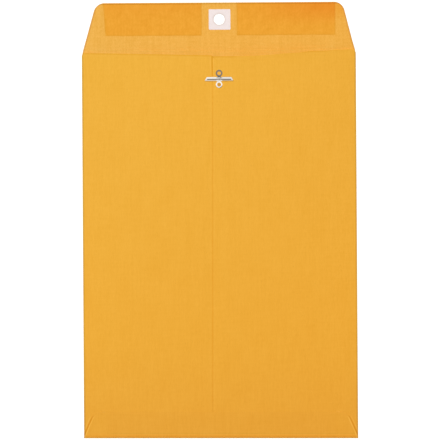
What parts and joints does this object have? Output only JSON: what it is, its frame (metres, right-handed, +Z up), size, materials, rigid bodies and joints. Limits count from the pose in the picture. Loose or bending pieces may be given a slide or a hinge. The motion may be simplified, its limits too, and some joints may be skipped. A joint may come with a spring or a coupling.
{
  "type": "clasp envelope",
  "caption": "Kraft paper envelope lying on its front, with an open pocket, a glued back seam, a gummed seal flap with a patched hole, and a metal wing clasp.",
  "frame": {"origin": "on the table under the middle of the opened envelope, centre of the bottom face of its box", "axes": "+X across the envelope to the right as seen from above, +Y from the bottom fold towards the flap's edge, +Z up out of the back"},
  "size_m": [0.1906, 0.3028, 0.0076],
  "materials": {
    "kraft_paper": "golden kraft, matt, with a fine laid grain",
    "seal_gum": "dried gum, satin, on the kraft",
    "patch_stock": "warm white, matt",
    "tinned_steel": "bright tin plate"
  },
  "bodies": {
    "root": {"envelope": "kraft_paper", "seal_gum_left": "seal_gum", "seal_gum_right": "seal_gum", "hole_patch": "patch_stock", "clasp": "tinned_steel"}
  },
  "joints": []
}
